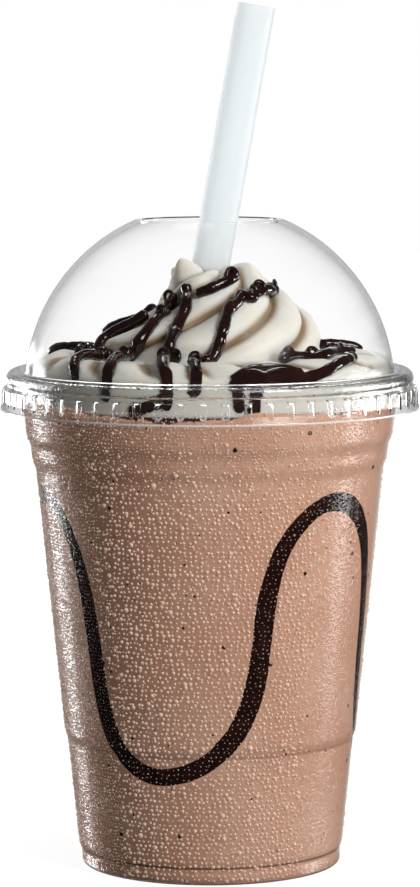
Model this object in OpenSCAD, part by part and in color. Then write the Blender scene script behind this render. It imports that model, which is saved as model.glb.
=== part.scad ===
// Clear cold-drink cup with a domed lid, a straw, a blended drink, whipped cream and chocolate sauce.
// Millimetres. Z is up, the front of the cup faces -Y, and the cup stands on z = 0.
// Angles "from the front" are measured round the cup from -Y, positive towards +X.

/* [Cup] */
// Outer radius of the foot ring
foot_r = 31.85; // [26:0.05:40]
// Height of the cup over its rolled rim
cup_h = 121.1; // [100:0.1:150]
// Thickness of the formed sheet
cup_wall = 0.45; // [0.3:0.05:0.9]
// Height of the small ledge near the foot
ledge_z = 32.2; // [24:0.1:45]
// Width of the small ledge
ledge_w = 0.5; // [0.2:0.05:1.2]
// Distance of the lower shoulder below the top of the rim
shoulder_low = 21.8; // [18:0.1:28]
// Distance of the upper shoulder below the top of the rim
shoulder_high = 16.4; // [12:0.1:17]
// Width of the lower shoulder
shoulder_low_w = 0.65; // [0.3:0.05:1.2]
// Width of the upper shoulder
shoulder_high_w = 0.75; // [0.3:0.05:1.2]
// Radius of the rolled rim's section
curl_r = 1.5; // [1.2:0.05:2]
// Radius of the circle through the middle of the rolled rim
rim_mid_r = 47.35; // [42:0.05:56]
// Height of the raised floor's underside above the table
floor_z = 3.4; // [2.8:0.1:6]
// Width of the foot ring
foot_w = 2.6; // [2.3:0.1:4]
// Radius of the foot ring's rounded edges
foot_round = 0.9; // [0.5:0.05:1.1]
// How far the wall flares from the neck to the rim
neck_flare = 1.3; // [1.1:0.05:2]

/* [Lid] */
// Gap between the rim and the lid that covers it
lid_gap = 0.45; // [0.3:0.05:0.8]
// Thickness of the lid's sheet
lid_wall = 0.35; // [0.25:0.05:0.5]
// Gap between the lid's inner ring and the mouth of the cup
plug_gap = 0.55; // [0.4:0.05:1]
// Height of the sphere's centre below the top of the rim
dome_drop = 4.4; // [2:0.1:8]
// Height of the flat crown above the sphere's centre
crown_h = 41.57; // [38:0.01:41.8]
// Depth of the turned-down lip round the straw hole
hole_lip = 0.9; // [0.5:0.05:1.5]
// Distance of the skirt's lower edge below the top of the rim
skirt_drop = 8.86; // [7.5:0.02:10]
// Gap between the rim and the inside of the skirt
skirt_gap = 1; // [0.8:0.05:1.6]
// How far the skirt's lower lip flares out
lip_out = 1.04; // [0.8:0.02:1.5]
// Number of grip ribs round the skirt
rib_n = 60; // [40:1:72]
// Half width of one grip rib
rib_r = 1.1; // [0.8:0.05:1.3]
// How far a rib stands out of the skirt
rib_out = 0.7; // [0.4:0.05:0.9]
// Angle of the first rib from the front
rib_phase = -1.8; // [-3:0.1:3]

/* [Straw] */
// Outer radius of the straw
straw_r = 4.65; // [3:0.05:4.8]
// Thickness of the straw's wall
straw_wall = 0.45; // [0.25:0.05:0.9]
// Length of straw above the lid's crown
straw_up = 52.6; // [30:0.1:53]
// Sideways place of the straw's axis at the level of the lid's crown
straw_x = 2.3; // [0:0.1:2.6]
// Height of the middle of the straw's lower end above the cup's floor
straw_foot = 1.95; // [1.5:0.05:4]
// Gap between the straw's lower end and the cup's wall
straw_side = 2.4; // [1.5:0.1:6]
// Gap between the straw and the cream round it
straw_fit = 0.1; // [0.05:0.05:0.3]
// Gap between the straw and the hole's edge as the lid is lifted over it
straw_gap = 0.3; // [0.3:0.05:1]

/* [Drink and cream] */
// Distance of the drink's top below the top of the rim
fill_drop = 7.3; // [7:0.1:9]
// Height of the cream over the top of the rim
cream_h = 27; // [20:0.5:30]
// Radius of the piped mound at its base
mound_r = 27; // [22:0.5:29]
// Lobes round the piped mound
mound_n = 8; // [6:1:10]
// Turn of the lobes from the base of the mound to its top
mound_twist = 150; // [60:5:220]
// Depth of the grooves between the mound's lobes
mound_groove = 2.6; // [1:0.1:3.2]
// How much the mound's left shoulder is drawn in
mound_lean = 0.42; // [0:0.02:0.45]
// Folds round the lower ring of cream
ring_n = 15; // [10:1:20]
// Depth of the folds of the lower ring
ring_groove = 1.1; // [0.4:0.1:1.6]

/* [Sauce] */
// Radius of a strand of sauce on the cream
strand_r = 1.2; // [0.8:0.05:1.5]
// Width of the sauce line on the cup's wall
wave_w = 4.1; // [2.5:0.1:5]
// Depth of the sauce line into the drink
wave_deep = 1.3; // [0.8:0.1:2]
// Waves of the sauce line round the cup
wave_n = 3; // [2:1:4]
// Distance of the sauce line's crests below the top of the rim
wave_crest = 28.8; // [20:0.1:50]
// Height of the sauce line's troughs above the table
wave_trough = 26.5; // [12:0.1:50]

/* [Hidden] */
fine = 120;
wide = 2 * rim_mid_r;
tall = 2 * cup_h;

ledge_len = 2.8;
shoulder_low_len = 3.8;
shoulder_high_len = 3.4;
floor_bevel = 1;
bead_top = floor_z - 1.1;
rim_z = cup_h - curl_r;
mouth_r = rim_mid_r - curl_r;
neck_z = cup_h - 12;
neck_r = mouth_r + cup_wall - neck_flare;
foot_bead = 0.45;
foot_in = foot_r - foot_w;
taper = (neck_r - foot_r - ledge_w - shoulder_low_w - shoulder_high_w) / neck_z;
fill_z = cup_h - fill_drop;

dome_r = mouth_r - plug_gap;
dome_z = cup_h - dome_drop;
crown_z = dome_z + crown_h;
cover_mid = rim_mid_r + 0.15;
cover_r = curl_r + lid_gap;
groove_drop = 0.9;
groove_step = 0.12;
skirt_round = 0.65;
skirt_flare = 0.25;
lip_h = 0.3;
lip_slope_h = 2;
rib_low = 0.8;
rib_rise = 0.45;
rib_knee = 0.42;
rib_knee_drop = 0.35;
rib_end = [0.3, 1.85];
groove_z = rim_z - groove_drop;
groove_r = cover_mid + sqrt(pow(cover_r + lid_wall, 2) - groove_drop * groove_drop) - groove_step;
skirt_z = cup_h - skirt_drop;
skirt_top = groove_z - 1.4;
plug_h = 4;
skirt_r = rim_mid_r + curl_r + skirt_gap + lid_wall;
lip_r = skirt_r + lip_out;
plug_low = rim_z - 1.4;

straw_base = floor_z + cup_wall + straw_foot;
straw_base_x = straw_r + straw_side - wall_r(straw_base) + cup_wall;
straw_lean = atan((straw_x - straw_base_x) / (crown_z - straw_base));
straw_down = (crown_z - straw_base) / cos(straw_lean);
straw_len = straw_down + straw_up;
hole_r = straw_x + straw_up * sin(straw_lean) + straw_r * cos(straw_lean) + straw_gap;

cream_r = dome_r - lid_wall - 0.35;
cream_end = 14;
wave_turn = 44.5;
wave_sway = [-3.7, 2.9, 6.2, -1.8];
wave_mid = (cup_h - wave_crest + wave_trough) / 2;
wave_amp = (cup_h - wave_crest - wave_trough) / 2;

// A smooth rise from 0 to 1 between heights a and b
function rise(z, a, b) = let (t = min(1, max(0, (z - a) / (b - a)))) t * t * (3 - 2 * t);
function step(z, middle, length) = rise(z, middle - length / 2, middle + length / 2);

// Outer radius of the cup's wall at height z
function wall_r(z) = foot_r + taper * z
    + ledge_w * step(z, ledge_z, ledge_len)
    + shoulder_low_w * step(z, cup_h - shoulder_low, shoulder_low_len)
    + shoulder_high_w * step(z, cup_h - shoulder_high, shoulder_high_len)
    - foot_bead * (1 - rise(z, floor_z - 0.4, floor_z + 2));

// The wall's outline turns at these heights: above the foot, and along the ledge and the shoulders
function levels(middle, length) = [for (k = [0:6]) middle + length * (k / 6 - 0.5)];
function wall_levels() = concat(
    [for (k = [0:3]) floor_z - 0.1 + 0.7 * k],
    levels(ledge_z, ledge_len),
    levels(cup_h - shoulder_low, shoulder_low_len),
    levels(cup_h - shoulder_high, shoulder_high_len));

// Outline of the wall from the foot to the rim, moved inwards by an inset
function wall_line(inset) = concat([for (z = wall_levels()) [wall_r(z) - inset, z]],
    [[neck_r - inset, neck_z], [mouth_r + cup_wall - inset, rim_z]]);

// Outline of the space inside the cup, up to height top
module inside_outline(top) {
    intersection() {
        union() {
            polygon(concat([[0, floor_z + cup_wall], [foot_in + cup_wall - floor_bevel, floor_z + cup_wall],
                [foot_in + cup_wall, floor_z + cup_wall - floor_bevel], [foot_in + cup_wall, foot_round],
                [foot_r - cup_wall, foot_round], [foot_r - cup_wall, bead_top]],
                wall_line(cup_wall), [[0, rim_z]]));
            intersection() {
                translate([foot_in + foot_w / 2, foot_round]) circle(r = foot_w / 2 - cup_wall, $fn = fine);
                translate([0, cup_wall]) square([wide, foot_w]);
            }
        }
        square([wide, top]);
    }
}

// The formed cup: foot ring, raised floor, leaning wall, ledge, shoulders and an open rolled rim
module cup() {
    color([0.86, 0.9, 0.92, 0.35])
    rotate_extrude($fn = fine) {
        difference() {
            union() {
                polygon(concat([[0, floor_z], [foot_in - floor_bevel, floor_z],
                    [foot_in, floor_z - floor_bevel], [foot_in, foot_round],
                    [foot_r, foot_round], [foot_r, bead_top]],
                    wall_line(0), [[0, rim_z]]));
                intersection() {
                    union() {
                        translate([foot_r - foot_round, foot_round]) circle(r = foot_round, $fn = fine);
                        translate([foot_in + foot_round, foot_round]) circle(r = foot_round, $fn = fine);
                        translate([foot_in + foot_round, 0]) square([foot_w - 2 * foot_round, foot_round]);
                    }
                    square([wide, foot_round]);
                }
                translate([rim_mid_r, rim_z]) circle(r = curl_r, $fn = fine);
            }
            inside_outline(rim_z);
            translate([rim_mid_r, rim_z]) circle(r = curl_r - cup_wall, $fn = fine);
            translate([0, rim_z - 0.001]) square([mouth_r, tall]);
            translate([mouth_r + cup_wall, rim_z - 2 * curl_r]) square([curl_r - cup_wall, 2 * curl_r]);
        }
    }
}

// Ring of round ribs seen from above: their outer sides reach rib_out beyond a circle of radius r
module rib_ring(r, half) {
    circle(r = r - rib_r / 2, $fn = fine);
    for (k = [0:rib_n - 1])
        rotate([0, 0, -90 + rib_phase + k * 360 / rib_n])
            translate([r + rib_out - rib_r, 0]) circle(r = half, $fn = 24);
}

// Outer skin of the lid, or its inner skin when the inset is the sheet's thickness
module lid_skin(inset) {
    rotate_extrude($fn = fine) {
        intersection() {
            translate([0, dome_z]) circle(r = dome_r - inset, $fn = fine);
            translate([0, plug_low]) square([wide, crown_z - inset - plug_low]);
        }
        intersection() {
            translate([cover_mid, rim_z]) circle(r = cover_r + lid_wall - inset, $fn = fine);
            translate([0, groove_z]) square([wide, tall]);
        }
        polygon([[0, rim_z], [cover_mid, rim_z], [cover_mid, groove_z], [groove_r - inset, groove_z],
            [groove_r - inset, skirt_top + skirt_round], [skirt_r - inset, skirt_top],
            [skirt_r + skirt_flare - inset, skirt_z + lip_slope_h], [lip_r - inset, skirt_z + lip_h],
            [lip_r - inset, skirt_z - 3 * inset], [0, skirt_z - 3 * inset]]);
    }
}

// The ribs of one skin: half-round uprights with arched tops
module lid_ribs(inset) {
    top = skirt_top + rib_rise - inset;
    reach = skirt_r + rib_out + rib_end[0] - inset;
    intersection() {
        translate([0, 0, skirt_z + rib_low]) linear_extrude(height = skirt_top - skirt_z)
            rib_ring(skirt_r - inset, rib_r - inset);
        rotate_extrude($fn = fine)
            polygon([[0, skirt_z], [reach, skirt_z], [reach, top - rib_rise - rib_end[1]],
                [skirt_r + rib_knee - inset, top - rib_knee_drop],
                [skirt_r - rib_end[0] - inset, top], [0, top]]);
    }
}

// Space that the cup's rolled rim sits in, closed towards the middle by the lid's short inner ring
module lid_plug() {
    rotate_extrude($fn = fine) {
        difference() {
            union() {
                intersection() {
                    translate([0, dome_z]) circle(r = dome_r, $fn = fine);
                    translate([0, plug_low]) square([wide, plug_h]);
                }
                intersection() {
                    translate([cover_mid, rim_z]) circle(r = cover_r + lid_wall, $fn = fine);
                    translate([0, rim_z - 0.1]) square([rim_mid_r, plug_h]);
                }
            }
            translate([0, dome_z]) circle(r = dome_r - lid_wall, $fn = fine);
            translate([cover_mid, rim_z]) circle(r = cover_r, $fn = fine);
        }
    }
}

// The domed lid with its ribbed skirt and an open crown with a turned-down lip
module dome_lid() {
    color([0.9, 0.93, 0.94, 0.35])
    difference() {
        union() {
            difference() {
                union() {
                    lid_skin(0);
                    lid_ribs(0);
                }
                lid_skin(lid_wall);
                lid_ribs(lid_wall);
            }
            lid_plug();
            translate([0, 0, crown_z - hole_lip])
                difference() {
                    cylinder(r = hole_r + lid_wall, h = hole_lip, $fn = fine);
                    translate([0, 0, -hole_lip]) cylinder(r = hole_r, h = 3 * hole_lip, $fn = fine);
                }
        }
        translate([0, 0, crown_z - 3 * hole_lip]) cylinder(r = hole_r, h = 6 * hole_lip, $fn = fine);
    }
}

// Puts a child that stands along +Z onto the straw's leaning axis
module on_straw() {
    translate([straw_x, 0, crown_z]) rotate([0, straw_lean, 0]) translate([0, 0, -straw_down])
        children();
}

// The straight straw, open at both ends
module straw() {
    color([0.9, 0.92, 0.93])
    on_straw() difference() {
        cylinder(r = straw_r, h = straw_len, $fn = 72);
        translate([0, 0, -1]) cylinder(r = straw_r - straw_wall, h = straw_len + 2, $fn = 72);
    }
}

// Height and angle of the sauce line for a phase p in degrees
function wave_z(p) = wave_mid + wave_amp * cos(p);
function wave_a(p) = wave_turn + p / wave_n
    + wave_sway * [sin(p), cos(p), sin(2 * p), cos(2 * p)];

// A point on the cup's inner wall at angle a from the front and height z, sunk inwards by s
function on_wall(a, z, s) = let (r = wall_r(z) - cup_wall - s) [r * sin(a), -r * cos(a), z];

// Section of the sauce line at phase p: the side on the wall first, then the rounded inner side.
// back is how far the first side reaches beyond the inner wall, and grow widens the whole section
function wave_section(p, back, grow) =
    let (a0 = wave_a(p - 1), a1 = wave_a(p + 1), z0 = wave_z(p - 1), z1 = wave_z(p + 1),
         r = wall_r(wave_z(p)) - cup_wall,
         da = (a1 - a0) * r * PI / 180, dz = z1 - z0, len = sqrt(da * da + dz * dz),
         ua = -dz / len * 180 / (PI * r), uz = da / len,
         half = wave_w / 2 * (1 + 0.08 * sin(2.3 * p)) + grow,
         heel = 1 + 0.7 * max(0, back) / wave_deep)
    [for (q = [[-heel, -back], [0, -back], [heel, -back], [0.75, wave_deep * 0.7 + grow],
        [0, wave_deep + grow], [-0.75, wave_deep * 0.7 + grow]])
        on_wall(wave_a(p) + ua * half * q[0], wave_z(p) + uz * half * q[0], q[1])];

// Closed loop of sauce on the wall
module wave_loop(back, grow) {
    steps = 40 * wave_n;
    m = 6;
    rows = [for (k = [0:steps - 1]) wave_section(k * 360 * wave_n / steps, back, grow)];
    polyhedron(
        points = [for (row = rows) for (q = row) q],
        faces = [for (k = [0:steps - 1]) for (i = [0:m - 1]) for (h = [0, 1])
            let (j = (k + 1) % steps, n = (i + 1) % m)
            h == 0 ? [k * m + i, j * m + n, j * m + i] : [k * m + i, k * m + n, j * m + n]],
        convexity = 10);
}

// Sauce poured in waves round the inside of the wall
module wall_sauce() {
    color([0.12, 0.06, 0.05]) wave_loop(-0.25, 0);
}

// The blended drink: it fills the cup and the straw up to its level
module milkshake() {
    color([0.68, 0.52, 0.44])
    difference() {
        rotate_extrude($fn = fine) inside_outline(fill_z);
        on_straw() difference() {
            cylinder(r = straw_r, h = straw_len, $fn = 72);
            translate([0, 0, -1]) cylinder(r = straw_r - straw_wall, h = straw_len + 2, $fn = 72);
        }
        wave_loop(0.5, 0.06);
    }
}

// Outline of the cream from the wall at the drink's level to the middle of its top: radius and height
function cream_line() = [[cream_r, fill_z], [cream_r, cup_h - 2], [cream_r - 0.6, cup_h + 1.2],
    [cream_r - 3.4, cup_h + 3.6], [cream_r - 8, cup_h + 4.8], [mound_r + 4.4, cup_h + 4.4],
    [mound_r + 0.6, cup_h + 4.2], [mound_r - 0.2, cup_h + cream_h * 0.26],
    [mound_r - 0.9, cup_h + cream_h * 0.37], [mound_r * 0.905, cup_h + cream_h * 0.5],
    [mound_r * 0.785, cup_h + cream_h * 0.64], [mound_r * 0.63, cup_h + cream_h * 0.77],
    [mound_r * 0.45, cup_h + cream_h * 0.89], [mound_r * 0.24, cup_h + cream_h * 0.975],
    [mound_r * 0.06, cup_h + cream_h]];

// Smooth curve through four points, at t from the second to the third
function blend(a, b, c, d, t) = 0.5 * (2 * b + (c - a) * t + (2 * a - 5 * b + 4 * c - d) * t * t
    + (3 * b - a - 3 * c + d) * t * t * t);

// Point of the cream's outline at u, counted in spans from the wall
function cream_at(u) =
    let (line = cream_line(), n = len(line), i = min(n - 2, floor(u)), t = u - i)
    i < 2 ? line[i] * (1 - t) + line[i + 1] * t
    : blend(line[i - 1], line[i], line[i + 1], line[min(n - 1, i + 2)], t);

// Surface of the cream at angle a and outline place u, raised by extra; lobes turn as they climb.
// deep is the share of the grooves that is followed, so that sauce can bridge them
function cream_point(a, u, extra, deep = 1) =
    let (b = cream_at(u), p = cream_at(max(0, u - 0.2)), q = cream_at(min(cream_end, u + 0.2)),
         d = q - p, len = sqrt(d[0] * d[0] + d[1] * d[1]),
         climb = max(0, u - 5.5) / 8.5,
         mound = rise(u, 5.4, 7) * (1 - rise(u, 11.5, 14.4)),
         ring = rise(u, 1.6, 3.4) * (1 - rise(u, 5.2, 6.4)),
         lean = rise(u, 7.6, 10) * (1 - rise(u, 11, 13.2)) * mound_lean * pow(0.5 - 0.5 * sin(a), 1.5),
         lobe = abs(cos(mound_n / 2 * (a - mound_twist * climb * (0.45 + 0.55 * climb) - 10))),
         fold = abs(cos(ring_n / 2 * (a + 9 * sin(2 * a) + 5 * u))),
         folds = mound * mound_groove * (pow(lobe, 0.7) - 0.72) + ring * ring_groove * (fold - 0.9),
         h = extra + deep * folds,
         r = b[0] * (1 - lean) + d[1] / len * h)
    [r * sin(a), -r * cos(a), b[1] - d[0] / len * h];

// The piped cream: a folded lower ring out to the wall and a twisted mound on top
module cream_solid() {
    cols = 64;
    rows = 22;
    grid = [for (j = [0:rows]) for (i = [0:cols - 1]) cream_point(i * 360 / cols, j * cream_end / rows, 0)];
    polyhedron(
        points = concat(grid, [[0, 0, fill_z], [0, 0, cream_at(cream_end)[1] + 0.1]]),
        faces = concat(
            [for (j = [0:rows - 1]) for (i = [0:cols - 1]) for (h = [0, 1])
                let (n = (i + 1) % cols, a = j * cols + i, b = j * cols + n,
                     c = (j + 1) * cols + n, d = (j + 1) * cols + i)
                h == 0 ? [a, c, b] : [a, d, c]],
            [for (i = [0:cols - 1]) [i, (i + 1) % cols, (rows + 1) * cols]],
            [for (i = [0:cols - 1]) [rows * cols + (i + 1) % cols, rows * cols + i, (rows + 1) * cols + 1]]),
        convexity = 10);
}

// Whipped cream with the straw pushed through it
module whipped_cream() {
    color([0.96, 0.94, 0.88])
    difference() {
        cream_solid();
        on_straw() cylinder(r = straw_r + straw_fit, h = straw_len, $fn = 72);
    }
}

// Strands that fell across the cream, each a path of [angle from the front, outline place]
strands = [
    [[-67, 9.4], [-69, 8.9], [-76, 8], [-72, 6.9], [-66, 6.1]],
    [[-60, 5.2], [-56, 4.3], [-52, 3.3], [-47, 2.4], [-45, 1.7]],
    [[-44, 10.4], [-44, 9.9], [-40, 9.2], [-38, 8.4], [-40, 7.4], [-42, 6.6], [-44, 5.8]],
    [[-42, 5.2], [-38, 4.5], [-35, 3.4], [-33, 2.4], [-33, 1.6]],
    [[-29, 11.5], [-22, 10.6], [-19, 9.8], [-21, 8.8], [-20, 7.8], [-20, 6.8], [-19, 5.8]],
    [[-18, 4.4], [-15, 2.9], [-13, 2.1], [-13, 1.5]],
    [[28, 11], [20, 10.3], [13, 9.8], [8, 8.8], [5, 7.8], [2, 6.6], [-3, 5.4]],
    [[-7, 4.4], [-5, 3.3], [-4, 2.2], [-4, 1.5]],
    [[-12, 10.8], [-4, 11], [8, 11.4], [24, 11.9], [34, 12.2]],
    [[27, 11], [31, 10.5], [41, 10.9], [60, 11.1], [76, 11.2]],
    [[30, 4.6], [44, 5], [58, 4.7], [72, 4.9], [88, 4.3]],
    [[24, 1.8], [34, 2.1], [42, 2.6], [52, 3.1], [62, 3.6]],
    [[118, 2.6], [122, 5], [117, 7.4], [124, 9.4], [132, 11]],
    [[160, 2.2], [166, 4.6], [160, 7], [170, 9], [176, 11.4]],
    [[206, 2.4], [200, 4.6], [206, 7], [198, 9], [192, 10.8]],
    [[246, 2.4], [252, 4.8], [246, 7], [254, 8.6], [258, 9.8]]];

// A strand of sauce lying partly in the cream along its surface
module strand(path) {
    spans = len(path) - 1;
    n = 3 * spans;
    m = 6;
    line = [for (k = [0:n])
        let (i = min(spans - 1, floor(k / 3)), t = k / 3 - i,
             q = blend(path[max(0, i - 1)], path[i], path[i + 1], path[min(spans, i + 2)], t))
        cream_point(q[0], q[1], strand_r * 0.6, 0.6)];
    ring = function (k)
        let (a = line[max(0, k - 1)], b = line[min(n, k + 1)], d = (b - a) / norm(b - a),
             e = cross(d, [line[k][0], line[k][1], mound_r / 2]), side = e / norm(e), up = cross(side, d),
             r = strand_r * (k == 0 || k == n ? 0.5 : 1) * (0.95 + 0.08 * sin(k * 77)))
        [for (i = [0:m - 1]) line[k] + side * r * cos(i * 360 / m) + up * r * sin(i * 360 / m)];
    polyhedron(
        points = [for (k = [0:n]) for (q = ring(k)) q],
        faces = concat(
            [for (k = [0:n - 1]) for (i = [0:m - 1]) for (h = [0, 1])
                let (a = k * m + i, b = k * m + (i + 1) % m)
                h == 0 ? [a, b, b + m] : [a, b + m, a + m]],
            [[for (i = [0:m - 1]) m - 1 - i]], [[for (i = [0:m - 1]) n * m + i]]),
        convexity = 6);
}

// Beads where the strands folded on themselves: angle, outline place, and radius in strand radii
beads = [[-44, 10.4, 1.5], [-37, 9.4, 1.4], [-45, 6, 1.5], [-38, 4.6, 1.3], [-17, 5.4, 1.6], [-18, 4.2, 1.3],
    [-6, 4.6, 1.3], [-60, 5.3, 1.5], [-72, 5, 1.6], [-84, 4.8, 1.3], [24, 11.9, 1.6], [41, 10.9, 1.7],
    [74, 11.2, 1.6], [36, 4.8, 1.5], [52, 5, 1.75], [80, 4.7, 1.7]];

// The pool: balls of sauce that run into one. Angle, outline place, then rise and radius in strand radii
pool = [[7, 1.9, -0.4, 1.5], [15, 2.7, -0.65, 2.6], [22, 2.6, -0.65, 2.6], [30, 2.4, -0.4, 1.5]];

// Room for food under the closed lid
module under_dome() {
    cylinder(r = cream_r, h = dome_z, $fn = 72);
    translate([0, 0, dome_z]) sphere(r = cream_r, $fn = 72);
}

// Chocolate sauce on the cream: strands, folded beads and one thick pool at the right front
module cream_sauce() {
    color([0.12, 0.06, 0.05])
    difference() {
        intersection() {
            under_dome();
            union() {
                for (s = strands) strand(s);
                for (b = beads) let (r = b[2] * strand_r) hull() {
                    translate(cream_point(b[0] - 1, b[1], r * 0.3)) sphere(r = r, $fn = 8);
                    translate(cream_point(b[0] + 1, b[1], r * 0.45)) sphere(r = r, $fn = 8);
                }
                hull() for (p = pool) translate(cream_point(p[0], p[1], p[2] * strand_r))
                    sphere(r = p[3] * strand_r, $fn = 12);
            }
        }
        cream_solid();
        on_straw() cylinder(r = straw_r + straw_fit, h = straw_len, $fn = 72);
    }
}

cup();
dome_lid();
straw();
milkshake();
whipped_cream();
cream_sauce();
wall_sauce();
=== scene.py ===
# Looks of the cold-drink cup: sheet plastic, condensation, drink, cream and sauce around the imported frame.
# Metres. Z is up and the front faces -Y. Angles run round the cup from the front, positive towards +X.

import bpy
import math
import numpy as np
from mathutils import Matrix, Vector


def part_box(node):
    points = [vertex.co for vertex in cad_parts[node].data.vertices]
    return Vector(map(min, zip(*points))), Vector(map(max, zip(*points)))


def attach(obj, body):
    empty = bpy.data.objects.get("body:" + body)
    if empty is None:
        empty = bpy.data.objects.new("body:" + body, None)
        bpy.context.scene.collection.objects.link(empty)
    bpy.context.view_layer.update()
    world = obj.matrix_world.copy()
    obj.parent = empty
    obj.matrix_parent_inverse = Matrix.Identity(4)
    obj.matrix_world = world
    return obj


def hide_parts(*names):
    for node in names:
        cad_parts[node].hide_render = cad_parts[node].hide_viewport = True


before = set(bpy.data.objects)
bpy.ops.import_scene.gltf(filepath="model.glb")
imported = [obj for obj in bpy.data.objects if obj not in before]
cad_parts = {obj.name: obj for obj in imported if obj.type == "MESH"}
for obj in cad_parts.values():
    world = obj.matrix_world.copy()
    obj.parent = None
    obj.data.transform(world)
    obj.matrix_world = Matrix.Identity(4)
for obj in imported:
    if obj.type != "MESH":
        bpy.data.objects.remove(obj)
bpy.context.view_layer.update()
scene = bpy.context.scene
mm = 0.001
print("frame loaded:", ", ".join(sorted(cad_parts)))


# Shader graphs

class Value:
    # A node's output. Arithmetic on it adds Math nodes to the same graph.
    def __init__(self, graph, socket):
        self.graph = graph
        self.socket = socket

    def math(self, operation, first, second):
        return self.graph.node("ShaderNodeMath", {"operation": operation}, {0: first, 1: second})

    def __add__(self, other):
        return self.math("ADD", self, other)

    def __radd__(self, other):
        return self.math("ADD", other, self)

    def __sub__(self, other):
        return self.math("SUBTRACT", self, other)

    def __rsub__(self, other):
        return self.math("SUBTRACT", other, self)

    def __mul__(self, other):
        return self.math("MULTIPLY", self, other)

    def __rmul__(self, other):
        return self.math("MULTIPLY", other, self)

    def __pow__(self, other):
        return self.math("POWER", self, other)

    def largest(self, other):
        return self.math("MAXIMUM", self, other)

    def other(self, name):
        # Another output of the same node
        return Value(self.graph, self.socket.node.outputs[name])

    def ramp(self, low, high, outLow=0.0, outHigh=1.0):
        # Smooth step from outLow at low to outHigh at high
        return self.graph.node("ShaderNodeMapRange", {"interpolation_type": "SMOOTHSTEP"},
            {"Value": self, "From Min": low, "From Max": high, "To Min": outLow, "To Max": outHigh})


class Graph:
    # One node tree. node() makes any node from its type, its settings and the values or links
    # of its sockets.
    def __init__(self, tree):
        self.tree = tree
        tree.nodes.clear()

    def node(self, kind, settings=None, sockets=None, output=0):
        made = self.tree.nodes.new(kind)
        for name, value in (settings or {}).items():
            setattr(made, name, value)
        for name, value in (sockets or {}).items():
            if isinstance(value, Value):
                self.tree.links.new(value.socket, made.inputs[name])
            else:
                made.inputs[name].default_value = value
        return Value(self, made.outputs[output]) if made.outputs else None

    def place(self, scale=(1, 1, 1)):
        # Object coordinates, in metres, stretched by scale
        spot = self.node("ShaderNodeTexCoord", output="Object")
        return self.node("ShaderNodeMapping", {"vector_type": "POINT"}, {"Vector": spot, "Scale": scale})

    def noise(self, spot, scale, detail=3.0, roughness=0.5):
        return self.node("ShaderNodeTexNoise", None,
            {"Vector": spot, "Scale": scale, "Detail": detail, "Roughness": roughness})

    def mixColour(self, factor, first, second):
        return self.node("ShaderNodeMix", {"data_type": "RGBA"}, {0: factor, 6: first, 7: second}, output=2)

    def mixShader(self, factor, first, second):
        return self.node("ShaderNodeMixShader", None, {0: factor, 1: first, 2: second})

    def bump(self, height, distance, strength):
        return self.node("ShaderNodeBump", None,
            {"Height": height, "Distance": distance, "Strength": strength})

    def principled(self, **sockets):
        names = {name.replace("_", " "): value for name, value in sockets.items()}
        return self.node("ShaderNodeBsdfPrincipled", None, names)

    def finish(self, shader, kind="ShaderNodeOutputMaterial"):
        self.node(kind, None, {"Surface": shader})


def newMaterial(name):
    material = bpy.data.materials.new(name)
    material.use_nodes = True
    return material, Graph(material.node_tree)


def rgb(red, green, blue):
    # A colour as a picture shows it, 0 to 255, turned into the linear light that shaders take
    parts = np.array([red, green, blue]) / 255
    linear = np.where(parts <= 0.04045, parts / 12.92, ((parts + 0.055) / 1.055) ** 2.4)
    return (*linear.tolist(), 1.0)


# Shapes

def rise(x, start, end):
    # Smooth step: 3t^2 - 2t^3 with t running from 0 at start to 1 at end
    t = np.clip((x - start) / (end - start), 0, 1)
    return t * t * (3 - 2 * t)


def band(x, start, full, fade, end):
    # 1 from full to fade and 0 outside start and end, with a smooth step at each side
    return rise(x, start, full) * (1 - rise(x, fade, end))


def around(radius, angle, z):
    # Cylinder coordinates to points: (r sin a, -r cos a, z)
    return np.stack(np.broadcast_arrays(radius * np.sin(angle), -radius * np.cos(angle), z), axis=-1)


def unit(vectors):
    return vectors / np.linalg.norm(vectors, axis=-1, keepdims=True)


def buildMesh(name, points, quads, triangles):
    mesh = bpy.data.meshes.new(name)
    faces = quads.reshape(-1, 4).tolist() + triangles.reshape(-1, 3).tolist()
    mesh.from_pydata(points.reshape(-1, 3).tolist(), [], faces)
    mesh.shade_smooth()
    piece = bpy.data.objects.new(name, mesh)
    scene.collection.objects.link(piece)
    return piece


def skin(name, grid, startPole=None, endPole=None):
    # Closed skin over a grid of points: rows run along the surface, and columns close into a ring.
    # Each end is a pole that its ring is fanned to, or the last row is joined to the first.
    rows, columns = grid.shape[:2]
    here = np.arange(rows * columns).reshape(rows, columns)
    beside = np.roll(here, -1, axis=1)
    closed = startPole is None and endPole is None
    below, belowBeside = (here, beside) if closed else (here[:-1], beside[:-1])
    above, aboveBeside = (np.roll(x, -1, axis=0) if closed else x[1:] for x in (here, beside))
    quads = np.stack([below, belowBeside, aboveBeside, above], axis=-1)
    points, fans = [grid.reshape(-1, 3)], [np.zeros((0, 3), int)]
    for pole, ring, besideRing in ((startPole, beside[0], here[0]), (endPole, here[-1], beside[-1])):
        if pole is not None:
            top = np.full(columns, rows * columns + len(points) - 1)
            fans.append(np.stack([top, ring, besideRing], axis=-1))
            points.append(np.array([pole], float))
    return buildMesh(name, np.concatenate(points), quads, np.concatenate(fans))


def settle(piece):
    # Applies the piece's modifiers to its mesh
    depsgraph = bpy.context.evaluated_depsgraph_get()
    mesh = bpy.data.meshes.new_from_object(piece.evaluated_get(depsgraph))
    piece.modifiers.clear()
    piece.data = mesh
    mesh.shade_smooth()


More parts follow.
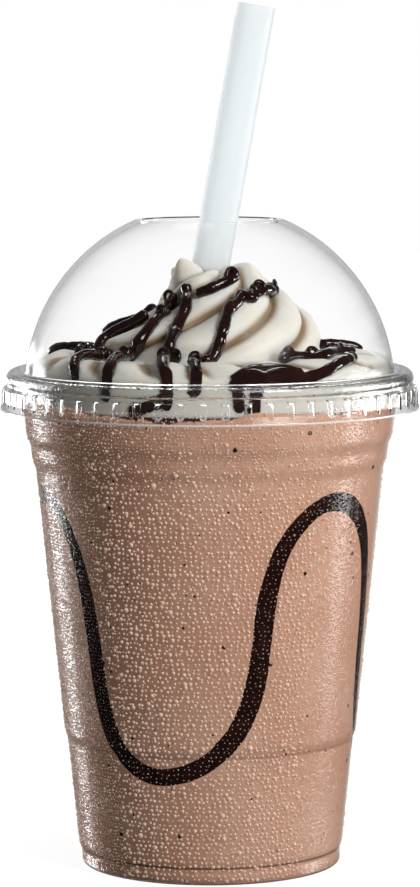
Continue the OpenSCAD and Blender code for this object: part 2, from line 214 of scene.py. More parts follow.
def place(piece, body, slot, material, *nodes):
    # Gives a piece its material and the body it moves with, hides the nodes it stands for. Slot: not used.
    piece.data.materials.clear()
    piece.data.materials.append(material)
    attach(piece, body)
    if nodes:
        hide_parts(*nodes)
    print("made", piece.name, "with", len(piece.data.polygons), "faces")


def ripple(points, waves, size, rng):
    # Smooth noise: the mean of sines along random directions, with wavelengths around size
    directions = unit(rng.normal(size=(waves, 3)))
    pitch = 2 * math.pi / (size * rng.uniform(0.7, 1.5, waves))
    phase = rng.uniform(0, 2 * math.pi, waves)
    return np.sin(points @ (directions * pitch[:, None]).T + phase).mean(axis=-1)


# Camera

cameraView = {
    "distance": 928.74 * mm,     # from the cup's axis, measured level
    "height": 196.47 * mm,
    "tiltDown": 5.727,           # degrees
    "roll": -0.17,
    "focal": 3810,               # pixels of a picture 887 pixels high
    "pictureHeight": 887,
    "sensor": 36,                # millimetres along the long side
}


def makeCamera(shape):
    data = bpy.data.cameras.new("camera")
    data.sensor_width = shape["sensor"]
    data.lens = shape["focal"] / shape["pictureHeight"] * shape["sensor"]
    data.clip_start = 10 * mm
    camera = bpy.data.objects.new("camera", data)
    scene.collection.objects.link(camera)
    tilt = Matrix.Rotation(math.radians(90 - shape["tiltDown"]), 4, "X")
    turn = Matrix.Rotation(math.radians(shape["roll"]), 4, "Z")
    camera.matrix_world = Matrix.Translation((0, -shape["distance"], shape["height"])) @ tilt @ turn
    scene.camera = camera


makeCamera(cameraView)
bpy.context.scene.view_settings.view_transform = "Standard"
bpy.context.scene.cycles.transparent_max_bounces = 32   # a ray crosses many thin sheets at the lid's rim
print("camera ready")


# Light, world and floor

# Azimuth and elevation in degrees as seen from the cup, the rest in metres; brightness 1 is white
softboxes = {
    "keyBox": {"azimuth": 40, "elevation": 30, "distance": 0.9, "width": 0.36, "height": 0.5,
        "brightness": 15},
    "leftStrip": {"azimuth": -130, "elevation": -4, "distance": 0.8, "width": 0.14, "height": 1.1,
        "brightness": 8},
    "rightStrip": {"azimuth": 106, "elevation": -4, "distance": 0.8, "width": 0.3, "height": 1.1,
        "brightness": 1.5},
}
studio = {
    "ambient": 0.03,       # what matt surfaces receive from all round
    "backLight": 1,        # what they receive from the white background
    "mattBack": (0.25, 0.75),  # where that light starts and is full, as a share of +Y
    "sides": 0.05,         # what gloss reflects from the dark sides of the room
    "backdrop": (0.88, 0.99),  # where gloss finds the white background, as a share of +Y
    "leftBack": 0.1,       # added at the left of the white background
    "leftStart": (0.1, 0.45),  # where that starts and is full, as a share of -X
    "leftBehind": (0.15, 0.5),  # and as a share of +Y
    "floorRadius": 3.0,
    "floorSides": 96,
    "floorHeight": -0.05 * mm,
    "floorColour": (0.85, 0.85, 0.85, 1),
    "floorSoak": 0.75,     # share of the floor's bounced light that is left out
    "floorGlow": 1.12,     # makes up for the matt share, so that the lit floor is white
    "shadowReach": (0.035, 0.1),  # from the axis: the floor turns from matt to plain white between these
    "shadowShare": 0.18,
    # What gloss reflects of the lamps, with soft edges: azimuth and elevation, the angles from there where
    # the glow starts and is full, in degrees, and its strength
    "glows": ((38, 30, 17, 6, 8), (180, 51, 12, 5, 3), (-134, -6, 15, 7, 9), (102, -5, 14, 6, 9)),
    "above": 0.4,          # what bent light finds high over the white background
    "overhead": (0.2, 0.5),  # from where to where it falls to that, as a share of +Z
}
aim = np.array([0, 0, 90 * mm])   # the lamps stand round this point and look at it


def lampSpot(shape):
    azimuth, elevation = np.radians([shape["azimuth"], shape["elevation"]])
    return around(math.cos(elevation), azimuth, math.sin(elevation)) * shape["distance"]


def makeSoftbox(name, shape):
    data = bpy.data.lights.new(name, "AREA")
    data.shape = "RECTANGLE"
    data.size = shape["width"]
    data.size_y = shape["height"]
    data.energy = shape["brightness"] * math.pi * shape["width"] * shape["height"]
    lamp = bpy.data.objects.new(name, data)
    lamp.visible_camera = False
    lamp.visible_glossy = lamp.visible_transmission = False   # the world has the lamps' mirror images
    scene.collection.objects.link(lamp)
    azimuth = math.radians(shape["azimuth"])
    elevation = math.radians(shape["elevation"])
    turn = Matrix.Rotation(azimuth, 4, "Z") @ Matrix.Rotation(math.radians(90) - elevation, 4, "X")
    lamp.matrix_world = Matrix.Translation(lampSpot(shape) + aim) @ turn


def makeWorld(shape):
    world = bpy.data.worlds.new("studio")
    world.use_nodes = True
    scene.world = world
    graph = Graph(world.node_tree)
    path = graph.node("ShaderNodeLightPath", output="Is Camera Ray")
    glossy = path.other("Is Glossy Ray")
    bent = path.other("Is Transmission Ray") * (1 - path)
    direction = graph.node("ShaderNodeTexCoord", output="Generated")
    way = graph.node("ShaderNodeSeparateXYZ", None, {0: direction})
    back = way.other("Y")
    left = (0 - way).ramp(*shape["leftStart"]) * back.ramp(*shape["leftBehind"]) * shape["leftBack"]
    mirrored = back.ramp(*shape["backdrop"], shape["sides"], 1).largest(left + shape["sides"])
    for azimuth, elevation, outer, inner, glow in shape["glows"]:
        spot = lampSpot({"azimuth": azimuth, "elevation": elevation, "distance": 1}).tolist()
        toSpot = graph.node("ShaderNodeVectorMath", {"operation": "DOT_PRODUCT"}, {0: direction, 1: spot},
            output="Value")
        start, full = (math.cos(math.radians(angle)) for angle in (outer, inner))
        mirrored = mirrored + toSpot.ramp(start, full, 0, glow)
    straight = path.largest(bent * way.other("Z").ramp(*shape["overhead"], 1, shape["above"]))
    matt = back.ramp(*shape["mattBack"], shape["ambient"], shape["backLight"])
    unseen = glossy * mirrored + (1 - glossy) * matt
    strength = straight + (1 - path.largest(bent)) * unseen
    light = graph.node("ShaderNodeBackground", None, {"Color": (1, 1, 1, 1), "Strength": strength})
    graph.finish(light, "ShaderNodeOutputWorld")


def makeFloor(shape):
    # A disc: matt near the cup, where it takes a faint shadow, and plain white further out.
    # Mirrored rays pass through it, because some of the lamps' mirror images lie below it.
    sides, height = shape["floorSides"], shape["floorHeight"]
    corner = np.arange(sides)
    ring = around(shape["floorRadius"], np.linspace(0, 2 * math.pi, sides, endpoint=False), height)
    fan = np.stack([np.full(sides, sides), corner, np.roll(corner, -1)], axis=-1)
    floor = buildMesh("floor", np.concatenate([ring, [[0, 0, height]]]), np.zeros((0, 4), int), fan)
    material, graph = newMaterial("floor")
    path = graph.node("ShaderNodeLightPath", output="Is Camera Ray")
    reach = graph.node("ShaderNodeVectorMath", {"operation": "LENGTH"}, {0: graph.place()}, output="Value")
    matt = graph.node("ShaderNodeBsdfDiffuse", None, {"Color": shape["floorColour"]})
    white = graph.node("ShaderNodeEmission", None, {"Color": (1, 1, 1, 1), "Strength": shape["floorGlow"]})
    clear = graph.node("ShaderNodeBsdfTransparent")
    seen = path.largest(path.other("Is Transmission Ray"))
    whiteShare = seen * reach.ramp(*shape["shadowReach"], 1 - shape["shadowShare"], 1)
    passing = path.other("Is Glossy Ray").largest(path.other("Is Shadow Ray"))
    passing = passing.largest(path.other("Is Diffuse Ray") * shape["floorSoak"])
    graph.finish(graph.mixShader(passing, graph.mixShader(whiteShare, matt, white), clear))
    floor.data.materials.append(material)


for name, shape in softboxes.items():
    makeSoftbox(name, shape)
makeWorld(studio)
makeFloor(studio)
print("studio ready")


# The cup's wall, as the frame has it

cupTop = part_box("cup")[1].z
wall = {
    "footRadius": 31.85 * mm,
    "taper": 0.10312,
    "sheet": 0.45 * mm,
    "steps": (                   # height of the middle, half length and width of each outward step
        (32.2 * mm, 1.3 * mm, 0.5 * mm),
        (cupTop - 21.8 * mm, 1.9 * mm, 0.65 * mm),
        (cupTop - 16.4 * mm, 1.7 * mm, 0.75 * mm),
    ),
    "floor": 3.4 * mm,
    "footWidth": 2.6 * mm,
    "footBead": 0.45 * mm,
    # Heights of the drink's painted shade lines: in the groove over the foot and under the ledge
    "groove": (4.1 * mm, 4.25 * mm),   # heights between which its line is darkest
    "ledgeShadeLine": (31.2 * mm, 31.5 * mm),
    "neck": cupTop - 12 * mm,
    "rimDrop": 1.5 * mm,
    "mouthRadius": 46.3 * mm,
}


def wallRadius(z):
    # Outer radius: a straight taper, plus a smooth step at the ledge and at each shoulder,
    # less the foot's bead, and a straight flare from the neck to the rim
    radius = wall["footRadius"] + wall["taper"] * np.minimum(z, wall["neck"])
    for middle, half, width in wall["steps"]:
        radius = radius + width * rise(z, middle - half, middle + half)
    radius = radius - wall["footBead"] * (1 - rise(z, wall["floor"] - 0.4 * mm, wall["floor"] + 2 * mm))
    neckRadius = wall["footRadius"] + wall["taper"] * wall["neck"] + sum(step[2] for step in wall["steps"])
    flare = np.clip((z - wall["neck"]) / (cupTop - wall["rimDrop"] - wall["neck"]), 0, 1)
    return radius + (wall["mouthRadius"] - neckRadius) * flare


def wallNormal(angle, z):
    slope = (wallRadius(z + 0.2 * mm) - wallRadius(z - 0.2 * mm)) / (0.4 * mm)
    return unit(around(1, angle, -slope))


# Cup and lid: clear sheet

cupSheet = {
    "mistCells": 1300,           # drops of mist to a metre
    "mistDrop": (0.1, 0.6),      # where a drop's slope starts and ends, as a share of its cell
    "mistHeight": 0.12 * mm,
    "mistStrength": 0.5,
    "roughness": 0.13,
    "ior": 1.4,
    "grey": (0.6, 0.6, 0.6, 1),
    "greyShare": 0.2,            # at the outline, from where it falls with the cube of facing
}
lidSheet = {
    "brim": (cupTop + 1 * mm, cupTop + 4 * mm),   # the sheet bends light strongly below, and weakly above
    "brimIor": 1.33,
    "domeIor": 1.15,
    "grey": (0.45, 0.46, 0.46, 1),
    "brimGrey": 0.9,             # share at the outline
    "domeGrey": 0.22,
    # Painted highlight: a pale band along the skirt's lower edge, where the lip would catch the light
    "edge": (cupTop - 8.5 * mm, cupTop - 8.35 * mm),   # the pale lower edge fades out between these
    "edgeHighlightShare": 0.4,
    "edgeHighlightColour": (0.85, 0.85, 0.84, 1),
    "edgeHighlightRoughness": 0.2,
}


def finishSheet(graph, body):
    # Camera rays and bent rays see the sheet, and light on its way to what is inside passes straight through
    path = graph.node("ShaderNodeLightPath", output="Is Shadow Ray")
    passing = path.largest(path.other("Is Diffuse Ray")).largest(path.other("Is Reflection Ray"))
    graph.finish(graph.mixShader(passing, body, graph.node("ShaderNodeBsdfTransparent")))


def makeCupSheet(look):
    # Clear where it faces the eye, mirror-like at grazing angles, and greyer towards its edges.
    # A fine bump of mist breaks up the gloss.
    material, graph = newMaterial("clear cup sheet")
    cells = graph.node("ShaderNodeTexVoronoi", {"feature": "F1"},
        {"Vector": graph.place(), "Scale": look["mistCells"]}, output="Distance")
    mist = graph.bump(cells.ramp(*look["mistDrop"], 1, 0), look["mistHeight"], look["mistStrength"])
    facing = graph.node("ShaderNodeLayerWeight", None, {"Blend": 0.5, "Normal": mist}, output="Facing")
    glass = graph.principled(Base_Color=(1, 1, 1, 1), Transmission_Weight=1.0,
        Roughness=look["roughness"], IOR=look["ior"], Normal=mist)
    grey = graph.node("ShaderNodeBsdfTransparent", None, {"Color": look["grey"]})
    finishSheet(graph, graph.mixShader(facing ** 3 * look["greyShare"], glass, grey))
    return material


def makeLidSheet(look):
    # Clear stiff sheet that bends what is seen through its ribs and its roll, with greyer edges, most of all
    # below the dome, and a painted highlight along its lower edge
    material, graph = newMaterial("clear lid sheet")
    facing = graph.node("ShaderNodeLayerWeight", None, {"Blend": 0.5}, output="Facing")
    height = graph.node("ShaderNodeSeparateXYZ", None, {0: graph.place()}, output="Z")
    brim = height.ramp(*look["brim"], 1, 0)
    grazing = facing ** 3 * brim * look["brimGrey"] + facing ** 6 * look["domeGrey"] * (1 - brim)
    edge = height.ramp(*look["edge"], look["edgeHighlightShare"], 0)
    thin, thick = (graph.principled(Base_Color=(1, 1, 1, 1), Transmission_Weight=1.0, Roughness=0.0,
        IOR=look[ior]) for ior in ("domeIor", "brimIor"))
    glass = graph.mixShader(brim, thin, thick)
    grey = graph.node("ShaderNodeBsdfTransparent", None, {"Color": look["grey"]})
    # Painted highlight: a pale matt band along the lower edge
    edgeHighlight = graph.principled(Base_Color=look["edgeHighlightColour"], Roughness=look["edgeHighlightRoughness"])
    finishSheet(graph, graph.mixShader(edge, graph.mixShader(grazing, glass, grey), edgeHighlight))
    return material


for node, material in (("cup", makeCupSheet(cupSheet)), ("dome_lid", makeLidSheet(lidSheet))):
    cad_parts[node].data.materials.clear()
    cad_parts[node].data.materials.append(material)
print("clear sheets ready")


# Straw

strawLook = {
    "marks": (900, 900, 14),     # drawing marks to a metre, across and along
    "colour": rgb(247, 250, 252),
    "markColour": rgb(251, 254, 255),
    "roughness": (0.32, 0.42),
    "markDepth": 0.02 * mm,
    "spread": 20 * mm,           # how far light travels inside it
    "lit": rgb(246, 251, 253),   # the light that comes through from behind
    "litShare": 0.3,
    "through": 0.5,              # share of the lamps' light that passes straight through
}


def makeStrawMaterial(look):
    # Satin white that lets light through, with faint lengthwise drawing marks
    material, graph = newMaterial("satin straw")
    marks = graph.noise(graph.place(look["marks"]), 1.0, 2.0)
    colour = graph.mixColour(marks.ramp(0.35, 0.65), look["colour"], look["markColour"])
    satin = graph.principled(Base_Color=colour, Roughness=marks.ramp(0.3, 0.7, *look["roughness"]),
        Subsurface_Weight=1.0, Subsurface_Scale=look["spread"], Subsurface_Radius=(1.0, 1.0, 1.0),
        Normal=graph.bump(marks, look["markDepth"], 0.4))
    lit = graph.node("ShaderNodeBsdfTranslucent", None, {"Color": look["lit"]})
    path = graph.node("ShaderNodeLightPath", output="Is Shadow Ray")
    through = path.largest(path.other("Is Diffuse Ray")) * look["through"]
    graph.finish(graph.mixShader(through, graph.mixShader(look["litShare"], satin, lit),
        graph.node("ShaderNodeBsdfTransparent")))
    return material


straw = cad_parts["straw"]
straw.data.materials.clear()
straw.data.materials.append(makeStrawMaterial(strawLook))
print("straw ready")


# Drink

drinkShape = {
    "gap": -0.08 * mm,         # it wets the cup's inner wall, so no air shows between the two
    "foot": 0.25 * mm,         # height of its lowest ring, in the hollow foot
    "level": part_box("whipped_cream")[0].z,
    "lap": 0.9 * mm,           # how far its edge laps up and down the wall
    "laps": (34 * mm, 9 * mm),   # length of the long and the short waves of that edge
    "edgeDrop": 0.3 * mm,
    # Rows over the edge: how far inwards and how far up
    "edgeRows": ((0, 0), (0.5 * mm, 0.25 * mm), (2.5 * mm, 0.2 * mm)),
    "topRings": (30 * mm, 10 * mm),
    "columns": 360,
    "rows": 150,
    "seed": 3,
}
drinkLook = {
    "brown": rgb(196, 150, 126),
    "paleBrown": rgb(206, 166, 143),
    "grain": rgb(176, 128, 102),
    "grainShare": 0.35,
    "crumb": rgb(36, 16, 11),
    # Crumbs: pitch, size as a share of the pitch, and how dark they are
    "crumbs": ((8 * mm, 0.08, 1), (4.4 * mm, 0.08, 1), (2.6 * mm, 0.07, 0.8)),
    "ragged": 0.5 * mm,        # how far their outlines wander
    # Painted shade lines: heights, how far they fade out below and above, share and colour
    "shadeLines": ((wall["groove"], 0.3 * mm, 0.5 * mm, 0.7, rgb(70, 38, 28)),
        (wall["ledgeShadeLine"], 0.4 * mm, 0.7 * mm, 0.3, rgb(120, 80, 62))),
    "roughness": 0.55,
    "specular": 0.1,
    "grainDepth": 0.03 * mm,
}


def makeDrink(shape):
    # A revolved skin that follows the inner wall: profile rows from the middle of the floor,
    # down into the hollow foot, up the wall and back to the middle of the top. The top edge waves.
    rng = np.random.default_rng(shape["seed"])
    inset = wall["sheet"] + shape["gap"]
    footIn = wall["footRadius"] - wall["footWidth"] + inset
    footOut = wall["footRadius"] - inset
    low = wall["floor"] + inset
    foot = shape["foot"]
    start = np.array([[0.3 * footIn, low], [0.9 * footIn, low], [footIn - 0.5 * mm, low - 0.2 * mm],
        [footIn, low - 1 * mm], [footIn + 0.1 * mm, foot + 0.4 * mm], [footIn + 0.6 * mm, foot],
        [footOut - 0.6 * mm, foot], [footOut - 0.1 * mm, foot + 0.4 * mm],
        [footOut, wall["floor"] - 1 * mm]])
    heights = np.linspace(wall["floor"], shape["level"] - 2 * mm, shape["rows"])
    profile = np.concatenate([start, np.stack([wallRadius(heights) - inset, heights], axis=-1)])
    angle = np.linspace(0, 2 * math.pi, shape["columns"], endpoint=False)
    side = around(profile[:, :1], angle, profile[:, 1:])
    edge = around(wallRadius(shape["level"]) - inset, angle, shape["level"])
    longWave, shortWave = shape["laps"]
    wave = shape["lap"] * (ripple(edge, 5, longWave, rng) + 0.8 * ripple(edge, 7, shortWave, rng)) * 2
    rows = []
    for inwards, lift in shape["edgeRows"]:
        z = shape["level"] + wave - shape["edgeDrop"] + lift
        rows.append(around(wallRadius(z) - inset - inwards, angle, z))
    top = around(np.array(shape["topRings"])[:, None], angle, shape["level"])
    grid = np.concatenate([side, np.stack(rows), top])
    return skin("drink_body", grid, (0, 0, low), (0, 0, shape["level"]))


def makeDrinkMaterial(look):
    # Blended chocolate: soft clouds of two browns, a fine grain, scattered dark crumbs, and painted shade
    # lines in the groove over the foot and under the ledge
    material, graph = newMaterial("blended drink")
    spot = graph.place()
    clouds = graph.noise(spot, 45, 3)
    grain = graph.noise(spot, 900, 2)
    colour = graph.mixColour(clouds.ramp(0.3, 0.7), look["brown"], look["paleBrown"])
    colour = graph.mixColour(grain.ramp(0.35, 0.75) * look["grainShare"], colour, look["grain"])
    ragged = graph.node("ShaderNodeVectorMath", {"operation": "MULTIPLY_ADD"},
        {0: graph.noise(spot, 1600, 1).other("Color"), 1: (look["ragged"],) * 3, 2: spot})
    for pitch, size, dark in look["crumbs"]:
        crumbs = graph.node("ShaderNodeTexVoronoi", {"feature": "F1"},
            {"Vector": ragged, "Scale": 1 / pitch}, output="Distance")
        colour = graph.mixColour(crumbs.ramp(size * 0.8, size * 1.15, dark, 0), colour, look["crumb"])
    height = graph.node("ShaderNodeSeparateXYZ", None, {0: spot}, output="Z")
    # Painted shade: darker bands where the groove and the ledge would shade the drink
    for (low, high), under, over, share, shade in look["shadeLines"]:
        line = height.ramp(low - under, low) * height.ramp(high, high + over, 1, 0)
        colour = graph.mixColour(line * share, colour, shade)
    graph.finish(graph.principled(Base_Color=colour, Roughness=look["roughness"],
        Specular_IOR_Level=look["specular"], Normal=graph.bump(grain, look["grainDepth"], 0.3)))
    return material


place(makeDrink(drinkShape), "cup", "drink", makeDrinkMaterial(drinkLook), "milkshake")


# Sauce on the cup's wall

waveShape = {
    "middle": 59.4 * mm,
    "reach": 32.9 * mm,        # of the crests and troughs from the middle
    "count": 3,
    "start": 44.5,             # degrees, where the first wave starts
    # Sways that the pouring hand gave it, in degrees: how many to a wave, sine and cosine
    "sways": ((1, -3.7, 2.9), (2, 6.2, -1.8)),
    "climb": (3.1, 0.5),       # one more sway on the limbs that climb: size, and how far it leads
    "width": 4.1 * mm,
    "swing": (0.08, 2.3),      # slow change of the width: its share, and how many to a wave
    "spread": 1.2,             # half of the sauce, as a share of half the width
    "uneven": ((0.12, 9 * mm), (0.05, 2.5 * mm)),   # ripples of each edge: share and length
    "depth": 1.3 * mm,
    "lip": 0.1 * mm,           # depth at its edges
    "front": -0.12 * mm,       # how far it stands off the wall, which it wets
    "rings": 900,
    "sides": 16,
    "seed": 11,
}
# Both sauces: the colour where they are thick and where they are thin, and the rest of the look
sauceLook = {
    "onWall": (rgb(30, 13, 10), rgb(48, 25, 20)),
    "onCream": (rgb(27, 10, 9), rgb(45, 19, 15)),
    "streaks": 260,            # to a metre
    "streakDepth": 0.05 * mm,
    "roughness": (0.04, 0.09),
    "gloss": 0.5,              # specular level and coat of the free sauce
    "coatRoughness": 0.01,
}


def waveAngle(phase):
    # Angle in degrees: an even turn plus the sways, each a sum of a sine and a cosine of the phase p,
    # plus the one of the climbing limbs, where sin p is below 0
    p = np.radians(phase)
    sway = sum(sine * np.sin(n * p) + cosine * np.cos(n * p) for n, sine, cosine in waveShape["sways"])
    size, lead = waveShape["climb"]
    climb = size * np.sin(2 * p + lead) * np.maximum(0, -np.sin(p))
    return waveShape["start"] + phase / waveShape["count"] + sway + climb


def makeWallSauce(shape):
    # A ribbon along the wave z = middle + reach cos p. Its section is flat against the wall and
    # rounded inwards: across = half cos t, and depth grows with sin t
    rng = np.random.default_rng(shape["seed"])
    phase = np.linspace(0, 360 * shape["count"], shape["rings"], endpoint=False)
    angle = np.radians(waveAngle(phase))
    z = shape["middle"] + shape["reach"] * np.cos(np.radians(phase))
    inner = wallRadius(z) - wall["sheet"]
    line = around(inner, angle, z)
    along = unit(np.roll(line, -1, axis=0) - np.roll(line, 1, axis=0))
    out = wallNormal(angle, z)
    across = unit(np.cross(along, out))
    swing, often = shape["swing"]
    half = shape["width"] / 2 * (1 + swing * np.sin(np.radians(often * phase)))
    left, right = (half * (shape["spread"] + sum(size * ripple(line, 9, length, rng)
        for size, length in shape["uneven"])) for _ in range(2))
    t = np.linspace(0, 2 * math.pi, shape["sides"], endpoint=False)
    share = (1 + np.cos(t)) / 2
    reach = -left[:, None] + (left + right)[:, None] * share
    back = shape["lip"] + shape["depth"] * np.sin(t)
    depth = shape["front"] + np.where(np.sin(t) > 0, back, shape["lip"] * (1 - np.abs(np.sin(t)) ** 0.4))
    grid = line[:, None] + across[:, None] * reach[..., None]
    # back onto the cone of the wall, then inwards by the depth
    turn = np.arctan2(grid[..., 0], -grid[..., 1])
    grid = around(wallRadius(grid[..., 2]) - wall["sheet"] - depth, turn, grid[..., 2])
    return skin("sauce_wave", grid)


def makeSauceMaterial(name, thick, thin, gloss):
    # Chocolate sauce: nearly black, a little redder where it is thin. It shines where it is free,
    # and not where it clings to the wall.
    material, graph = newMaterial(name)
    streaks = graph.noise(graph.place(), sauceLook["streaks"], 3)
    graph.finish(graph.principled(Base_Color=graph.mixColour(streaks.ramp(0.4, 0.75), thick, thin),
        Roughness=streaks.ramp(0.3, 0.7, *sauceLook["roughness"]), Specular_IOR_Level=gloss,
        Coat_Weight=gloss, Coat_Roughness=sauceLook["coatRoughness"],
        Normal=graph.bump(streaks, sauceLook["streakDepth"], 0.3)))
    return material


place(makeWallSauce(waveShape), "cup", "sauce",
    makeSauceMaterial("sauce on the wall", *sauceLook["onWall"], 0.0), "wall_sauce")


# Whipped cream

creamShape = {
    "radius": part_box("whipped_cream")[1].x,
    "level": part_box("whipped_cream")[0].z,
    "height": 25.2 * mm,       # over the cup's top
    "mound": 27 * mm,          # radius of the mound
    "lobes": 8,
    "twist": 150,              # degrees that the lobes turn on their way up
    "twistFrom": 5.5,          # outline place where they start to turn
    "groove": 2.9 * mm,
    "lean": 0.42,              # how far the top draws in on the left, as a share of its radius
    "folds": 15,
    "foldDepth": 1.2 * mm,
    # Outline places where each of these starts, is full, fades and ends
    "moundSpan": (5.4, 7, 11.5, 14.4),
    "ringSpan": (1.6, 3.4, 5.2, 6.4),
    "leanSpan": (7.6, 10, 11, 13.2),
    # Roughness of the surface: height, number of waves and their length
    "rough": ((0.35 * mm, 24, 7 * mm), (0.12 * mm, 40, 1.8 * mm)),
    "columns": 440,
    "rows": 215,
    "seed": 5,
}
creamLook = {
    "white": rgb(222, 219, 210),
    # Painted shade: the creases are darkened towards this tan brown
    "creaseShade": rgb(132, 104, 64),
    "creaseShadeShare": 0.9,
    "fold": rgb(210, 203, 185),
    "foldShare": 0.2,
    "roughness": 0.5,
    "specular": 0.3,
    "spread": 3 * mm,          # how far light travels inside it
    "spreadColour": (1.0, 0.8, 0.55),
    "bubbleDepth": 0.25 * mm,
}
# Small peaks left by the nozzle: angle, outline place, width in millimetres and height
creamPeaks = ((-62, 12.9, 2.6, 3.4 * mm), (74, 12.6, 3.2, 2.6 * mm), (118, 12.3, 3.0, 2.0 * mm),
    (-115, 12.4, 2.8, 1.8 * mm))
outlineEnd = 14


def creamOutline():
    # Radius and height from the wall to the middle of the top
    r, m, h = creamShape["radius"], creamShape["mound"], creamShape["height"]
    low = [(r, creamShape["level"]), (r, cupTop - 2 * mm), (r - 0.6 * mm, cupTop + 1.2 * mm),
        (r - 3.4 * mm, cupTop + 3.6 * mm), (r - 8 * mm, cupTop + 4.8 * mm),
        (m + 4.4 * mm, cupTop + 4.4 * mm), (m + 0.6 * mm, cupTop + 4.2 * mm),
        (m - 0.2 * mm, cupTop + 0.26 * h), (m - 0.9 * mm, cupTop + 0.37 * h)]
    high = [(0.905, 0.5), (0.785, 0.64), (0.63, 0.77), (0.45, 0.89), (0.24, 0.975), (0.06, 1)]
    return np.array(low + [(m * x, cupTop + h * y) for x, y in high])


def curveThrough(points, u):
    # Catmull-Rom curve: with points a, b, c, d and t from b to c, half of
    # 2b + (c - a) t + (2a - 5b + 4c - d) t^2 + (3b - a - 3c + d) t^3. The second result is the straight
    # line from b to c.
    last = len(points) - 1
    i = np.clip(np.floor(u).astype(int), 0, last - 1)
    t = (u - i)[..., None]
    a, b, c, d = (points[np.clip(i + k, 0, last)] for k in (-1, 0, 1, 2))
    square, cube = 2 * a - 5 * b + 4 * c - d, 3 * b - a - 3 * c + d
    return 0.5 * (2 * b + (c - a) * t + square * t ** 2 + cube * t ** 3), b * (1 - t) + c * t


def creamAt(u):
    # The curve through the outline's points, and straight lines up the wall for u below 2
    curve, straight = curveThrough(creamOutline(), u)
    return np.where(u[..., None] < 2, straight, curve)


def creamPoint(angle, u, extra=0, share=1):
    # The outline turned round the axis and pushed along its normal by h, where h follows the lobes of the
    # mound, |cos| of a turning angle to the power 0.7, and the folds of the lower ring. angle in degrees
    b = creamAt(u)
    step = creamAt(np.minimum(u + 0.2, outlineEnd)) - creamAt(np.maximum(u - 0.2, 0))
    length = np.hypot(step[..., 0], step[..., 1])
    climb = np.maximum(0, u - creamShape["twistFrom"]) / (outlineEnd - creamShape["twistFrom"])
    mound = band(u, *creamShape["moundSpan"])
    ring = band(u, *creamShape["ringSpan"])
    side = np.clip(0.5 - 0.5 * np.sin(np.radians(angle)), 0, 1)
    lean = band(u, *creamShape["leanSpan"]) * creamShape["lean"] * side ** 1.5
    turned = angle - creamShape["twist"] * climb * (0.45 + 0.55 * climb) - 10
    lobe = np.abs(np.cos(np.radians(creamShape["lobes"] / 2 * turned)))
    swayed = angle + 9 * np.sin(np.radians(2 * angle)) + 5 * u
    fold = np.abs(np.cos(np.radians(creamShape["folds"] / 2 * swayed)))
    h = mound * creamShape["groove"] * (lobe ** 0.7 - 0.72) + ring * creamShape["foldDepth"] * (fold - 0.9)
    for peakAngle, peakU, width, height in creamPeaks:
        away = (angle - peakAngle + 180) % 360 - 180
        gap = np.hypot(np.radians(away) * b[..., 0], (u - peakU) * 5 * mm) / (width * mm)
        h = h + height * np.exp(-gap ** 2)
    h = extra + share * h
    radius = b[..., 0] * (1 - lean) + step[..., 1] / length * h
    # How deep a point lies in a crease, for the painted shade of the creases
    creaseShade = np.maximum(mound * (1 - lobe) ** 2, ring * (1 - fold) ** 2)
    return around(radius, np.radians(angle), b[..., 1] - step[..., 0] / length * h), creaseShade


def makeCream(shape):
    rng = np.random.default_rng(shape["seed"])
    angle, u = np.meshgrid(np.linspace(0, 360, shape["columns"], endpoint=False),
        np.linspace(0, outlineEnd, shape["rows"]))
    flat, _ = creamPoint(angle, u)
    soft = rise(u, 1.5, 2.6)
    rough = sum(size * ripple(flat, waves, length, rng) for size, waves, length in shape["rough"])
    grid, creaseShade = creamPoint(angle, u, soft * 2 * rough)
    top = creamAt(np.array([float(outlineEnd)]))[0, 1] + 0.1 * mm
    cream = skin("cream_swirl", grid, (0, 0, shape["level"]), (0, 0, top))
    # The crease depth goes on the mesh, and the material paints shade by it
    depth = cream.data.attributes.new("creaseShade", "FLOAT", "POINT")
    depth.data.foreach_set("value", np.append(creaseShade.ravel(), [0, 0]))
    return cream


def makeCreamMaterial(look):
    # Whipped cream: a soft matt white that lets some light through, painted shade in the creases, tiny
    # bubbles
    material, graph = newMaterial("whipped cream")
    spot = graph.place()
    creaseShade = graph.node("ShaderNodeAttribute", {"attribute_name": "creaseShade"}, output="Fac")
    bubbles = graph.noise(spot, 1400, 2)
    folds = graph.noise(spot, 240, 4, 0.6)
    colour = graph.mixColour(creaseShade.ramp(0.1, 0.7) * look["creaseShadeShare"], look["white"], look["creaseShade"])
    colour = graph.mixColour(folds.ramp(0.5, 0.8) * look["foldShare"], colour, look["fold"])
    graph.finish(graph.principled(Base_Color=colour, Roughness=look["roughness"], Subsurface_Weight=1.0,
        Subsurface_Scale=look["spread"], Subsurface_Radius=look["spreadColour"],
        Specular_IOR_Level=look["specular"],
        Normal=graph.bump(folds * 0.8 + bubbles * 0.2, look["bubbleDepth"], 0.45)))
    return material


place(makeCream(creamShape), "cup", "cream", makeCreamMaterial(creamLook), "whipped_cream")


# Sauce on the cream

strandShape = {
    "radius": 1.45 * mm,
    "stand": 0.6,              # share of the radius by which the middle stands over the cream
    "bridge": 0.6,             # share of the grooves that a strand follows
    "swell": ((0.16, 5 * mm), (0.1, 2 * mm)),   # uneven thickness: share and length of its ripples
    "steps": 12,               # rings from one point of a path to the next
    "voxel": 0.28 * mm,
    "smoothing": 2,
    "domeHeight": cupTop - 4.4 * mm,   # centre of the dome
    "domeRadius": 44.8 * mm,           # just inside the lid
    "seed": 21,
}
